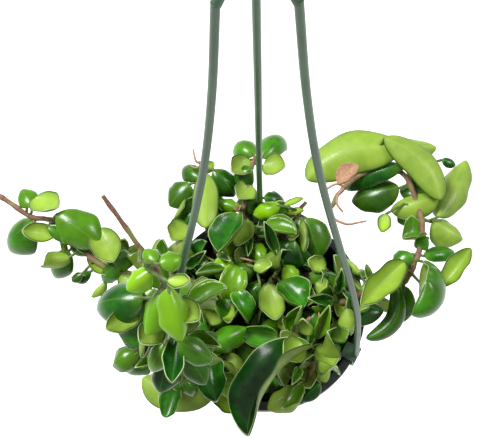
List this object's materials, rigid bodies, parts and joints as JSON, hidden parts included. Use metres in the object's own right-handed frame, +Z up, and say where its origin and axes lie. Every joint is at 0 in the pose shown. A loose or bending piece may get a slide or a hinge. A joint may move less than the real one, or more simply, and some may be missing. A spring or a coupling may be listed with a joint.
{
  "type": "potted hoya plant",
  "caption": "Compact curled-leaf hoya in a round tapered nursery pot, hung by its rim from a three-legged plastic hanger with a hook.",
  "frame": {"origin": "the underside of the hook's bow, where it bears on what the plant hangs from", "axes": "+Z up along the line it hangs on, +Y away from the viewer, +X to the viewer's right"},
  "size_m": [0.2818, 0.1795, 0.4232],
  "materials": {
    "pot": "moulded black polypropylene",
    "soil": "loose peat and bark",
    "hanger": "moulded grey-green polypropylene",
    "foliage": "waxy leaf"
  },
  "bodies": {
    "root": {"pot": "pot", "soil": "soil", "hanger": "hanger", "vine_left": "foliage", "vine_climber": "foliage", "vine_front_left": "foliage", "vine_front": "foliage", "vine_right": "foliage", "vine_back_left": "foliage", "vine_back_mid": "foliage", "vine_back_right": "foliage", "vine_centre_left": "foliage", "vine_centre": "foliage", "vine_centre_right": "foliage"}
  },
  "joints": []
}
